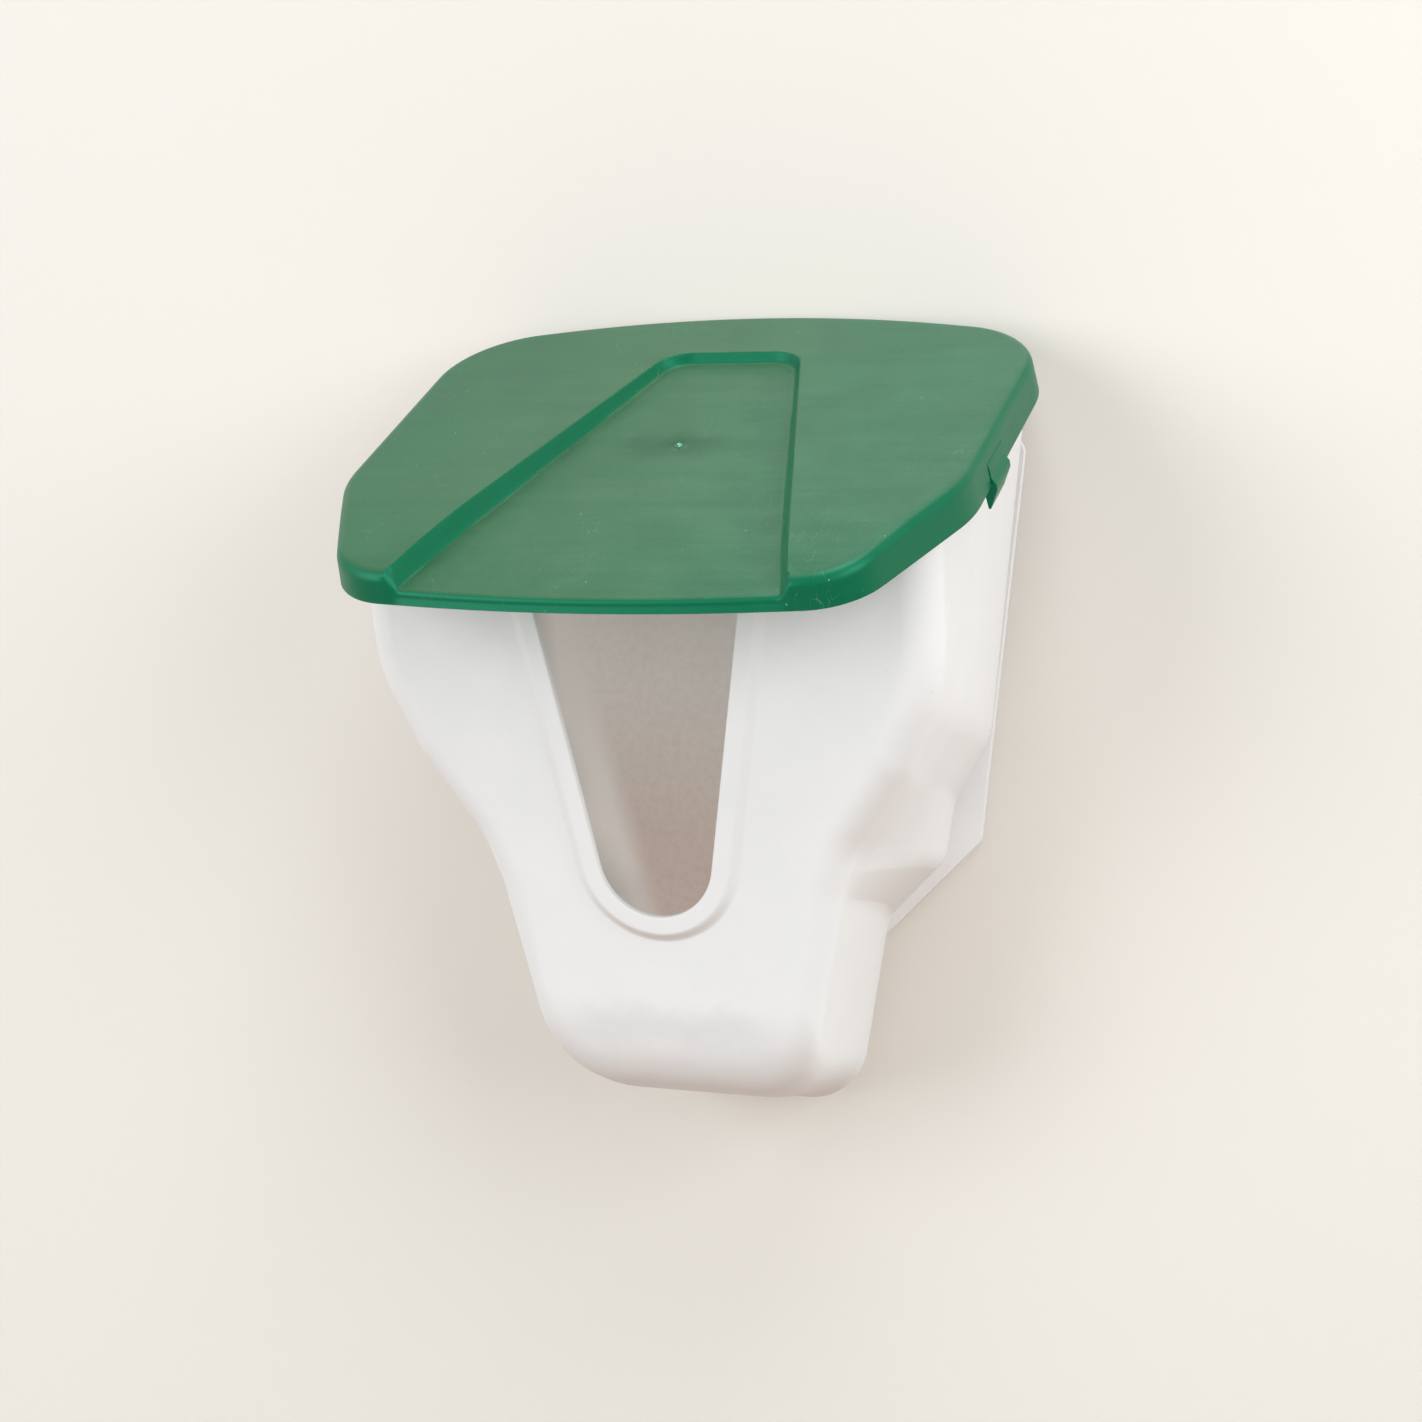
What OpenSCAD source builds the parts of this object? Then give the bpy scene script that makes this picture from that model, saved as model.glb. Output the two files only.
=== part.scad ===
// Wall-hung hay feeder box: an open-fronted tub with a sloping lift-off lid
// X is across the feeder, Y points into the wall, Z is up
// The origin lies on the wall, midway between the two screw holes

/* [Tub front outline] */
// Distance of the tub's sides inside the lid's, where they reach the rim
rim_in = 6.9; // [6.5:0.1:9]
// Distance of the shoulder, where the sides turn inwards, inside the rim
shoulder_in = 3.3; // [2:0.1:6]
// Drop of the shoulder below the screw holes
shoulder_drop = 49; // [44:0.5:54]
// Rounding of the shoulder
shoulder_r = 60; // [30:1:70]
// Distance of the cheek, where the slope steepens, inside the rim
cheek_in = 18.1; // [16:0.1:21]
// Drop of the cheek below the screw holes
cheek_drop = 79; // [76:0.5:82]
// Distance of the waist, where the slope ends, inside the rim
waist_in = 38.1; // [36:0.1:40]
// Drop of the waist below the screw holes
waist_drop = 107; // [105:0.5:109]
// Distance of the trough's side, just below the waist, inside the rim
trough_in = 44.1; // [43:0.1:45]
// Drop of the place where that distance is measured
trough_drop = 124; // [122:0.5:126]
// Rounding of the cheek, the waist and the trough
waist_r = 40; // [20:1:44]
// Distance of the trough's front bottom corners inside the rim
toe_in = 50.6; // [49:0.1:53]
// Drop of the trough's front bottom edge
toe_drop = 179; // [174:0.5:184]
// Rounding of the trough's front bottom corners
toe_r = 30; // [20:1:34]

/* [Tub back outline] */
// Distance of the back's shoulder inside the rim
back_shoulder_in = 15.6; // [14:0.1:17]
// Drop of the back's shoulder
back_shoulder_drop = 73; // [70:0.5:76]
// Rounding of the back's shoulder
back_shoulder_r = 26; // [15:1:28]
// Distance of the back's cheek inside the rim
back_cheek_in = 28.6; // [28:0.1:29]
// Drop of the back's cheek
back_cheek_drop = 97; // [95:0.5:99]
// Distance of the hip inside the rim
hip_in = 32.1; // [31:0.1:33]
// Drop of the hip
hip_drop = 118; // [116:0.5:120]
// Distance of the back's waist inside the rim
back_waist_in = 53.1; // [52:0.1:55]
// Drop of the back's waist
back_waist_drop = 140; // [138:0.5:142]
// Rounding of the back's cheek, hip and waist
hip_r = 14; // [13:0.5:18]
// Distance of the trough's lowest corners inside the rim
heel_in = 64.1; // [62:0.1:66]
// Drop of the trough's lowest level
heel_drop = 207; // [200:0.5:210]
// Rounding of the trough's lowest corners
heel_r = 22; // [15:1:24]

/* [Tub depth] */
// Depth of the front wall from the house wall, at the level of the screw holes
front_depth = 124; // [115:0.5:130]
// Lean of the front wall, whose foot stands back
front_lean = 11.4; // [8:0.1:14]
// Share of the toe's rise that the sloping floor makes, before its rounded front edge
floor_share = 0.45; // [0.3:0.01:0.6]
// Depth over which the floor rounds up into the front wall
toe_depth = 30; // [20:1:36]
// Rounding between the front wall and the sides
front_r = 12; // [8:0.5:14]
// Rounding between the back and the sides
back_r = 12; // [8:0.5:12]
// Wall thickness of the tub
tub_wall = 2.2; // [1.6:0.1:3]

/* [Back plate] */
// Thickness of the plate that lies against the wall
plate_t = 3; // [2:0.1:4]
// Distance of the plate's upper corners inside the rim
plate_top_in = 6.1; // [5:0.1:10]
// Height of the plate's upper corners above the screw holes
plate_top_z = 30; // [22:0.5:34]
// Half width of the plate's crown, under the lid's back edge
crown_half_w = 50; // [40:0.5:60]
// Height of the plate's crown above the screw holes
crown_z = 55; // [45:0.5:56]
// Distance of the plate's lower corners inside the rim
plate_low_in = 21.6; // [16:0.1:25]
// Drop of the plate's lower corners
plate_low_drop = 112; // [105:0.5:118]
// Half width of the plate's foot, behind the trough
plate_foot_half_w = 38; // [30:0.5:45]
// Drop of the plate's foot
plate_foot_drop = 158; // [150:0.5:170]
// Rounding of the plate's corners
plate_r = 6; // [3:0.5:10]

/* [Screw holes] */
// Distance between the two screw holes
hole_spacing = 100; // [80:1:120]
// Diameter of a screw hole
hole_d = 5; // [4:0.1:6]

/* [Feeding opening] */
// Radius of the round foot of the opening
mouth_r = 20.8; // [16:0.1:24]
// Drop of the opening's lowest point, measured along the front wall
mouth_drop = 132.6; // [125:0.1:138]
// Lean of each side of the opening
mouth_lean = 10.2; // [6:0.1:12]
// Width of the raised bead round the opening
bead_w = 9.5; // [7:0.1:11]
// Height of the bead above the front wall
bead_h = 2.5; // [1.5:0.1:3.5]
// Width of the bead's rounded edge
bead_edge = 4; // [2:0.1:5]

/* [Lid] */
// Slope of the lid down to the front
lid_slope = 28; // [24:0.5:32]
// Height of the lid's top over the screw holes, where its plane meets the datum line
lid_back_z = 75; // [74:0.5:80]
// Distance of that datum line from the wall
lid_back_gap = 5; // [4:0.5:8]
// Half width of the lid
lid_half_w = 112.5; // [110:0.5:118]
// Reach of the lid from the datum line to the middle of its front edge
lid_front = 187.5; // [180:0.5:192]
// Where the lid's sides turn into the front chamfers
lid_side_end = 123.5; // [118:0.5:128]
// Distance inside the lid's sides at which the chamfers meet the front edge
lid_nose_in = 23.5; // [19:0.1:26]
// Rise of the lid's back edge past the datum line
lid_back = 5; // [3:0.5:5]
// Radius of the bow of the lid's back edge
lid_back_r = 330; // [260:5:400]
// Rounding of the lid's back corners
lid_corner_r = 38; // [20:1:38]
// Rounding between the lid's sides and its front chamfers
lid_side_r = 43; // [20:1:50]
// Rounding between the front chamfers and the front edge
lid_nose_r = 26; // [12:1:27]
// Radius of the bow of the front edge
lid_front_r = 650; // [500:10:900]
// Thickness of the lid
lid_wall = 2.2; // [1.6:0.1:3]
// Height of the lid's skirt
skirt_h = 14; // [12:0.5:16]
// Rounding between the lid's top and its skirt
lid_edge_r = 4; // [2.5:0.1:5]
// Inward lean of the skirt from its lower edge to the top
skirt_draft = 0.8; // [0:0.1:1.2]
// Clearance between the rim and the lid
lid_gap = 0.3; // [0.2:0.05:0.6]

/* [Sunk panel] */
// Distance of the panel's back edge from the datum line
panel_back = 27; // [20:0.5:35]
// Half width of the panel at its back edge
panel_back_half_w = 24.9; // [20:0.1:30]
// Lean of the panel's sides
panel_lean = 16.1; // [10:0.1:18]
// Rounding of the panel's back corners
panel_r = 13; // [9:0.5:18]
// Depth of the panel at its back edge
panel_back_depth = 3.5; // [2.5:0.1:4.5]
// Depth of the panel at the lid's front edge
panel_front_depth = 7.5; // [5:0.1:8]
// How far the panel's sides lean in for each millimetre of depth
panel_side_run = 0.8; // [0.4:0.05:1]

/* [Rim] */
// Clearance between the rim's lip and the lid's skirt
lip_gap = 1; // [0.8:0.1:1.6]
// Thickness of the rim's flange and lip
rim_t = 2; // [1.6:0.1:2.5]
// Height of the lip that hangs from the flange
lip_h = 11; // [8:0.5:11]
// Overhang of the flange in front of the front wall
front_flange_w = 6; // [4:0.5:8]

/* [Side latches] */
// Middle of each latch, from the datum line towards the front
latch_middle = 93; // [88:0.5:98]
// Width of each latch
latch_w = 17.4; // [14:0.1:20]
// Slit between a latch and the skirt
latch_slit = 0.4; // [0.3:0.05:0.8]
// Depth below the lid's top at which a latch is rooted
latch_root = 6; // [5.5:0.1:7]
// Depth below the lid's top of the latch's tip
latch_tip = 22.5; // [20:0.1:24]
// How far the grip of a latch stands out past the skirt
latch_bulge = 1.6; // [1:0.1:2]
// Thickness of a latch
latch_t = 1.9; // [1.6:0.1:2.2]
// Height of the neck over which the grip swells out
latch_neck = 2; // [1:0.1:3]
// Height of the grip's flat band
grip_h = 2.5; // [1.5:0.1:4]
// Height of that band's upper edge above the skirt's foot
grip_rise = 1; // [0:0.1:2]
// Thickness of a latch's tip
tip_t = 0.8; // [0.6:0.1:1.2]
// Lead-in of the tip outside the catch
tip_lead = 0.6; // [0.2:0.1:1]
// Reach of the catch on the inside of a latch
catch_w = 1; // [0.8:0.1:1.3]
// Height of the catch
catch_h = 3; // [2:0.1:4]
// Clearance between the lip and the catch
catch_gap = 0.3; // [0.2:0.05:0.4]

/* [Hidden] */
$fn = 96;
// Steps of a rounded corner, and of a rounded edge
arc_steps = 6;
edge_steps = 5;
bow_steps = 3;
bead_layers = 5;
// Places of the tub's middle rings, from the back, 0, to the front wall, 1
side_shares = [0.3, 0.5, 0.65, 0.75];
// Smallest rounding of the hollow, and the sharpest turn that an inset follows
least_r = 1;
least_turn = 0.5;
// A point this near the middle line lies on it
tiny = 0.001;
// A cutter reaches this far past what it cuts
over = 1;
big = 400;
// The tub's skin and the panel's wedge run on this far past the lid
beyond = 20;
// Flare of the tub's sides up to the top of its skin
top_flare = 1;
// Share of the lid's edge rounding that is left at the sunk panel
panel_edge_share = 0.7;
rim_half_w = lid_half_w - rim_in;
lid_nose_half_w = lid_half_w - lid_nose_in;
// The bows of the lid's edges end where the rounding of its corners needs room
lid_back_turn = asin((lid_half_w - lid_corner_r) / lid_back_r);
lid_front_turn = asin((lid_nose_half_w - lid_nose_r) / lid_front_r);
front_slope = tan(front_lean);
top_z = lid_back_z + beyond;
foot_depth = front_depth - front_slope * heel_drop;
rim_depth = lid_wall + lid_gap;
lip_inset = lid_wall + lip_gap;
mouth_centre = -mouth_drop + mouth_r;
panel_slope = (panel_front_depth - panel_back_depth) / (lid_front - panel_back);
// The panel's foot stands this far inside the skirt, as a moulded step
panel_step = 0.25;
panel_cut = panel_front_depth + 2 * over;
latch_notch_w = latch_w + 2 * latch_slit;
latch_inner = lid_half_w - latch_t;
white = [0.93, 0.93, 0.94];
green = [0.05, 0.42, 0.30];

// Points of the arc that rounds the corner b between a and c
function rounded(a, b, c, r, steps) =
    let (
        u = (a - b) / norm(a - b),
        v = (c - b) / norm(c - b),
        half = acos(u * v) / 2,
        cut = r / tan(half),
        p = b + u * cut,
        q = b + v * cut,
        centre = b + (u + v) / norm(u + v) * r / sin(half),
        from = p - centre,
        to = q - centre,
        turn = acos(max(-1, min(1, from * to / (r * r)))),
        side = from[0] * to[1] - from[1] * to[0] > 0 ? 1 : -1
    )
    [for (i = [0:steps])
        let (angle = side * turn * i / steps)
        centre + [
            from[0] * cos(angle) - from[1] * sin(angle),
            from[0] * sin(angle) + from[1] * cos(angle)
        ]
    ];

// Mirror of a half outline, joined to it, without the points on the middle line twice
function both_sides(half) = concat(
    half,
    [for (i = [len(half) - 1:-1:0]) if (abs(half[i][0]) > tiny) [-half[i][0], half[i][1]]]
);

// Outline moved inwards by a distance, point by point along its own normals
function inset(points, distance) =
    let (n = len(points))
    [for (i = [0:n - 1])
        let (
            before = points[(i + n - 1) % n],
            after = points[(i + 1) % n],
            e = (points[i] - before) / norm(points[i] - before),
            f = (after - points[i]) / norm(after - points[i]),
            middle = (e + f) / norm(e + f),
            shrink = distance / max(least_turn, middle * e)
        )
        points[i] + [middle[1], -middle[0]] * shrink
    ];

// Half outline of the tub in the X-Z plane, from the top down, with each corner rounded
function half_outline(corners, radii) =
    concat(
        [corners[0]],
        [for (i = [1:len(corners) - 2])
            each rounded(corners[i - 1], corners[i], corners[i + 1], radii[i - 1], arc_steps - 1)
        ]
    );

front_half = half_outline(
    [
        [rim_half_w + top_flare, top_z],
        [rim_half_w - shoulder_in, -shoulder_drop],
        [rim_half_w - cheek_in, -cheek_drop],
        [rim_half_w - waist_in, -waist_drop],
        [rim_half_w - trough_in, -trough_drop],
        [rim_half_w - toe_in, -toe_drop],
        [0, -toe_drop]
    ],
    [shoulder_r, waist_r, waist_r, waist_r, toe_r]
);

back_half = half_outline(
    [
        [rim_half_w + top_flare, top_z],
        [rim_half_w - back_shoulder_in, -back_shoulder_drop],
        [rim_half_w - back_cheek_in, -back_cheek_drop],
        [rim_half_w - hip_in, -hip_drop],
        [rim_half_w - back_waist_in, -back_waist_drop],
        [rim_half_w - heel_in, -heel_drop],
        [0, -heel_drop]
    ],
    [back_shoulder_r, hip_r, hip_r, hip_r, heel_r]
);

// Outline of the tub between the back's and the front's: its sides and its floor turn apart
function tub_outline(side_turn, floor_turn) = both_sides(
    [for (i = [0:len(back_half) - 1])
        let (turn = i < len(back_half) - arc_steps ? side_turn : floor_turn)
        back_half[i] * (1 - turn) + front_half[i] * turn
    ]
);

// Depth of the front wall at a height
function depth_at(z) = front_depth + front_slope * z;

// One ring of the tub: share runs from the back, 0, to the front wall, 1
function tub_ring(share, shift, distance, floor_turn) =
    [for (p = inset(tub_outline(share, floor_turn), distance))
        [p[0], -share * depth_at(p[1]) + shift, p[1]]
    ];

// Rings of the tub's skin: its outside, or its hollow when moved inwards by the wall
function tub_rings(distance) =
    let (
        back = max(least_r, back_r - distance),
        front = max(least_r, front_r - distance),
        back_wall = distance > 0 ? plate_t : 0
    )
    concat(
        [for (i = [edge_steps:-1:0])
            let (angle = 90 * i / edge_steps)
            tub_ring(
                0,
                -back_wall - back * (1 - sin(angle)),
                distance + back * (1 - cos(angle)),
                0
            )
        ],
        [for (share = side_shares)
            tub_ring(share, 0, distance, toe_blend((1 - share) * foot_depth))
        ],
        [for (i = [0:edge_steps])
            let (
                angle = 90 * i / edge_steps,
                behind = front * (1 - sin(angle))
            )
            tub_ring(
                1,
                distance + behind,
                distance + front * (1 - cos(angle)),
                toe_blend(behind)
            )
        ]
    );

// How far the outline has turned from the heel's to the toe's at a place behind the front wall
function toe_blend(behind) =
    let (u = max(0, 1 - behind / toe_depth))
    floor_share * (1 - behind / foot_depth) + (1 - floor_share) * (1 - sqrt(1 - u * u));

// Closed skin over rings of equal length, whose ends are capped from side to side
module skin(rings) {
    n = len(rings[0]);
    last = len(rings) - 1;
    half = ceil(n / 2) - 1;
    sides = [for (k = [0:last - 1]) for (i = [0:n - 1])
        let (a = k * n + i, b = k * n + (i + 1) % n)
        each [[a, b, b + n], [a, b + n, a + n]]
    ];
    start_cap = [for (i = [0:half])
        let (a = i, b = (i + 1) % n, c = n - 1 - (i + 1), d = n - 1 - i)
        each [
            if (b != d && a != d && a != b) [a, d, b],
            if (b != c && c != d && b != d && b < c) [b, d, c]
        ]
    ];
    end_cap = [for (f = start_cap) [f[0] + last * n, f[2] + last * n, f[1] + last * n]];
    polyhedron(
        points = [for (ring = rings) each ring],
        faces = concat(sides, start_cap, end_cap),
        convexity = 8
    );
}

// Places flat shapes on the leaning front wall, thickness pointing outwards
module on_front() {
    translate([0, -front_depth, 0])
        rotate([90 + front_lean, 0, 0])
            children();
}

// Places shapes in the lid's own frame, whose X-Y plane is the lid's top
module in_lid() {
    translate([0, -lid_back_gap, lid_back_z])
        rotate([lid_slope, 0, 0])
            children();
}

// Outline of the feeding opening, wider all round by a margin
module mouth_shape(margin) {
    r = mouth_r + margin;
    foot_x = r * cos(mouth_lean);
    foot_y = mouth_centre - r * sin(mouth_lean);
    top_y = lid_back_z;
    top_x = foot_x + (top_y - foot_y) * tan(mouth_lean);
    translate([0, mouth_centre])
        circle(r);
    polygon([[foot_x, foot_y], [top_x, top_y], [-top_x, top_y], [-foot_x, foot_y]]);
}

// Raised bead round the opening, whose layers follow the arc of its soft edge
module mouth_bead() {
    on_front()
        for (i = [1:bead_layers])
            let (angle = 90 * i / bead_layers)
            translate([0, 0, -tub_wall / 2])
                linear_extrude(height = tub_wall / 2 + bead_h * sin(angle))
                    mouth_shape(bead_w - bead_edge * (1 - cos(angle)));
}

// Flat plate against the wall
module back_plate() {
    crown = [crown_half_w, crown_z];
    top = [rim_half_w - plate_top_in, plate_top_z];
    low = [rim_half_w - plate_low_in, -plate_low_drop];
    foot = [plate_foot_half_w, -plate_foot_drop];
    half = concat(
        [[0, crown_z]],
        rounded([0, crown_z], crown, top, plate_r, arc_steps),
        rounded(crown, top, low, plate_r, arc_steps),
        rounded(top, low, foot, plate_r, arc_steps),
        rounded(low, foot, [0, -plate_foot_drop], plate_r, arc_steps),
        [[0, -plate_foot_drop]]
    );
    rotate([90, 0, 0])
        linear_extrude(height = plate_t)
            polygon(both_sides(half));
}

// Half outline of the lid, from the middle of its back edge to the middle of its front
function lid_half() =
    let (
        back_end = bow_point(lid_back_r, lid_back_turn, lid_back),
        front_end = -bow_point(lid_front_r, lid_front_turn, lid_front),
        corner = [
            lid_half_w,
            back_end[1] - (lid_half_w - back_end[0]) * tan(lid_back_turn)
        ],
        side_end = [lid_half_w, -lid_side_end],
        nose = [
            lid_nose_half_w,
            front_end[1] + (lid_nose_half_w + front_end[0]) * tan(lid_front_turn)
        ]
    )
    concat(
        [for (i = [0:bow_steps])
            bow_point(lid_back_r, lid_back_turn * i / bow_steps, lid_back)
        ],
        rounded(back_end, corner, side_end, lid_corner_r, arc_steps),
        rounded(corner, side_end, nose, lid_side_r, arc_steps - 2),
        rounded(side_end, nose, [-front_end[0], front_end[1]], lid_nose_r, arc_steps),
        [for (i = [bow_steps:-1:0])
            let (p = bow_point(lid_front_r, lid_front_turn * i / bow_steps, lid_front))
            [p[0], -p[1]]
        ]
    );

// Point of a bow whose crown lies on the middle line at a height
function bow_point(r, angle, crown) = [r * sin(angle), crown - r * (1 - cos(angle))];

lid_outline = both_sides(lid_half());

// Height of the lid's top face, or of the sunk panel's floor when sunk is 1
function top_at(y, sunk) = -sunk * (panel_back_depth + panel_slope * (-y - panel_back));

// Round-edged form with the lid's outline, inset by a distance, its top lowered by a drop
module dome(sunk, distance, drop, foot) {
    r = lid_edge_r * (sunk > 0 ? panel_edge_share : 1);
    level = [for (i = [0:edge_steps])
        let (angle = 90 * i / edge_steps)
        [r * (1 - sin(angle)), r * (1 - cos(angle))]
    ];
    rings = concat(
        [[for (p = inset(lid_outline, distance)) [p[0], p[1], -foot]]],
        [for (l = level)
            [for (p = inset(lid_outline, distance + skirt_draft + l[1]))
                [p[0], p[1], top_at(p[1], sunk) - drop - l[0]]
            ]
        ]
    );
    skin(rings);
}

// Wedge that opens the sunk panel, wider all round by a margin
module panel_wedge(margin) {
    far = lid_front + beyond;
    tan_lean = tan(panel_lean);
    rings = [for (z = [-panel_cut, over])
        let (
            grow = margin + panel_side_run * z,
            back_y = -panel_back + grow,
            back_x = panel_back_half_w + grow / cos(panel_lean) - grow * tan_lean,
            far_x = back_x + (far + back_y) * tan_lean,
            half = concat(
                rounded([0, back_y], [back_x, back_y], [far_x, -far], panel_r + grow, arc_steps),
                [[far_x, -far]]
            )
        )
        [for (p = both_sides(half)) [p[0], p[1], z - margin]]
    ];
    skin(rings);
}

// The lid's outer form, or its hollow when moved inwards by the wall
module lid_form(distance) {
    foot = skirt_h + (distance > 0 ? over : 0);
    difference() {
        dome(0, distance, distance, foot);
        panel_wedge(distance);
    }
    dome(1, distance + panel_step, distance, foot);
}

// The rim's outer form, or its hollow when moved inwards by its thickness
module rim_form(distance) {
    foot = rim_depth + lip_h + (distance > 0 ? over : 0);
    difference() {
        dome(0, lip_inset + distance, rim_depth + distance, foot);
        translate([-big / 2, -rim_front() - front_flange_w - distance - big, -big / 2])
            cube([big, big, big]);
    }
}

// Distance along the lid from the datum line to the front wall
function rim_front() =
    (front_depth + front_slope * lid_back_z - lid_back_gap)
    / (cos(lid_slope) + front_slope * sin(lid_slope));

// Flange that carries the lid, with a lip that hangs from it at the sides and the back
module rim() {
    in_lid()
        difference() {
            rim_form(0);
            rim_form(rim_t);
        }
}

// Room that the tub leaves for the lid: all that lies higher than its skirt and outside the rim
module lid_room() {
    in_lid()
        difference() {
            translate([-big, -big, -skirt_h - lid_gap])
                cube([2 * big, 2 * big, big]);
            dome(0, lip_inset, rim_depth, skirt_h + lid_gap + over);
        }
}

// The tub's hollow, which narrows under the rim
module hollow() {
    difference() {
        skin(tub_rings(tub_wall));
        in_lid()
            translate([0, 0, -skirt_h - lid_gap - rim_t])
                linear_extrude(height = big)
                    difference() {
                        square([2 * big, 2 * big], center = true);
                        polygon(inset(lid_outline, lip_inset + skirt_draft + rim_t));
                    }
    }
}

module tub() {
    color(white)
        difference() {
            union() {
                skin(tub_rings(0));
                back_plate();
                rim();
                mouth_bead();
            }
            hollow();
            lid_room();
            // Room under the sunk panel
            in_lid()
                translate([0, 0, -panel_front_depth - rim_depth])
                    linear_extrude(height = panel_front_depth + rim_depth)
                        panel_room();
            // Feeding opening
            on_front()
                translate([0, 0, -front_r])
                    linear_extrude(height = front_r + 2 * front_flange_w)
                        mouth_shape(0);
            // Recess behind the bead, where the wall keeps its thickness
            on_front()
                translate([0, 0, -tub_wall - over])
                    linear_extrude(height = over + bead_h)
                        mouth_shape(bead_w - tub_wall);
            // Nothing reaches into the wall
            translate([-big / 2, 0, -big / 2])
                cube([big, big, big]);
            screw_holes();
        }
}

// Plan of the room that the rim leaves for the sunk panel
module panel_room() {
    half_at_rim = panel_back_half_w + (rim_front() - panel_back) * tan(panel_lean);
    reach = front_flange_w * 2;
    translate([-half_at_rim - reach / 2, -rim_front() - reach])
        square([2 * half_at_rim + reach, 2 * reach]);
}

module screw_holes() {
    for (x = [-hole_spacing / 2, hole_spacing / 2])
        translate([x, over, 0])
            rotate([90, 0, 0])
                cylinder(d = hole_d, h = plate_t + 2 * over);
}

module lid() {
    color(green)
        difference() {
            in_lid()
                difference() {
                    lid_form(0);
                    lid_form(lid_wall);
                    for (side = [-1, 1])
                        latch_notch(side);
                }
            // The lid's back edge stops at the wall
            translate([-big / 2, -lid_gap, -big / 2])
                cube([big, big, big]);
        }
}

// Gap in the skirt that a latch fills
module latch_notch(side) {
    depth = 2 * lid_wall;
    translate([
        side > 0 ? lid_half_w - depth : -lid_half_w - depth,
        -latch_middle - latch_notch_w / 2,
        -skirt_h - over
    ])
        cube([2 * depth, latch_notch_w, skirt_h + over - latch_root]);
}

// Section of a latch: x outwards, y up from the lid's top plane
module latch_section() {
    root_y = -latch_root - latch_slit;
    grip_y = -skirt_h + grip_rise;
    catch_y = -rim_depth - lip_h - catch_gap;
    lip_x = lid_half_w - lip_inset + catch_gap;
    polygon([
        [latch_inner, root_y],
        [lid_half_w - skirt_draft / 2, root_y],
        [lid_half_w, root_y - latch_neck],
        [lid_half_w + latch_bulge, grip_y],
        [lid_half_w + latch_bulge, grip_y - grip_h],
        [lip_x + tip_lead + tip_t, -latch_tip],
        [lip_x + tip_lead, -latch_tip],
        [lip_x, catch_y - catch_h],
        [lip_x, catch_y],
        [lip_x + catch_w, catch_y + catch_w]
    ]);
}

// One latch on the right side of the lid
module latch() {
    in_lid()
        translate([0, -latch_middle + latch_w / 2, 0])
            rotate([90, 0, 0])
                linear_extrude(height = latch_w)
                    latch_section();
}

module latch_right() {
    color(green)
        latch();
}

module latch_left() {
    color(green)
        mirror([1, 0, 0])
            latch();
}

tub();
lid();
latch_left();
latch_right();
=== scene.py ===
import bpy
import bmesh
import math
import numpy as np
from mathutils import Matrix, Vector
from mathutils.geometry import delaunay_2d_cdt


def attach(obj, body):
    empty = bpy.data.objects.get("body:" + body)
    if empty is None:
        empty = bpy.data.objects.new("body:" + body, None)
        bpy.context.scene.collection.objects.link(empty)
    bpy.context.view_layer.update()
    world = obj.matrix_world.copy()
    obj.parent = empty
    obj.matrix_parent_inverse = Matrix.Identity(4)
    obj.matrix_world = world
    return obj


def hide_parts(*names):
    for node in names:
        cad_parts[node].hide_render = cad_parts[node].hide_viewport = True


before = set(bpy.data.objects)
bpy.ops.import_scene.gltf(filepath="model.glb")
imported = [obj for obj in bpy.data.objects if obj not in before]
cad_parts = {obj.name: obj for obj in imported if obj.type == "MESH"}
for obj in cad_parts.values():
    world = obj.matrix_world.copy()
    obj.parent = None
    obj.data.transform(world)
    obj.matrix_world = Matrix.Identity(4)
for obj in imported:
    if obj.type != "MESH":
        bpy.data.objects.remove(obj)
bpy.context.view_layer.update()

mm = 0.001


def mix(a, b, t):
    return tuple(p + (q - p) * t for p, q in zip(a, b))


def ease(t):
    t = min(1.0, max(0.0, t))
    return t * t * (3 - 2 * t)


# points of the arc of radius r that rounds the corner b between a and c
def roundCorner(a, b, c, r, steps):
    a, b, c = Vector(a), Vector(b), Vector(c)
    u, v = (a - b).normalized(), (c - b).normalized()
    half = math.acos(max(-1, min(1, u.dot(v)))) / 2
    start = b + u * (r / math.tan(half))
    centre = b + (u + v).normalized() * (r / math.sin(half))
    spoke = start - centre
    end = b + v * (r / math.tan(half)) - centre
    turn = spoke.angle(end)
    side = 1 if spoke.x * end.y - spoke.y * end.x > 0 else -1
    out = []
    for i in range(steps + 1):
        angle = side * turn * i / steps
        out.append((
            centre.x + spoke.x * math.cos(angle) - spoke.y * math.sin(angle),
            centre.y + spoke.x * math.sin(angle) + spoke.y * math.cos(angle),
        ))
    return out


# the same line with its points at an even spacing
def evenly(pts, spacing):
    run = [0.0]
    for p, q in zip(pts, pts[1:]):
        run.append(run[-1] + math.dist(p, q))
    count = max(2, round(run[-1] / spacing))
    out = []
    k = 0
    for i in range(count + 1):
        s = run[-1] * i / count
        while k < len(run) - 2 and run[k + 1] < s:
            k += 1
        span = run[k + 1] - run[k]
        out.append(mix(pts[k], pts[k + 1], (s - run[k]) / span if span > 0 else 0))
    return out


# closed outline moved inwards, point by point along its own normals
def inset(points, distance):
    count = len(points)
    out = []
    for i, p in enumerate(points):
        e = Vector(p) - Vector(points[i - 1])
        f = Vector(points[(i + 1) % count]) - Vector(p)
        e.normalize()
        f.normalize()
        middle = (e + f).normalized()
        own = distance[i] if hasattr(distance, "__len__") else distance
        shrink = own / max(0.5, middle.dot(e))
        out.append((p[0] + middle.y * shrink, p[1] - middle.x * shrink))
    return out


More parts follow.
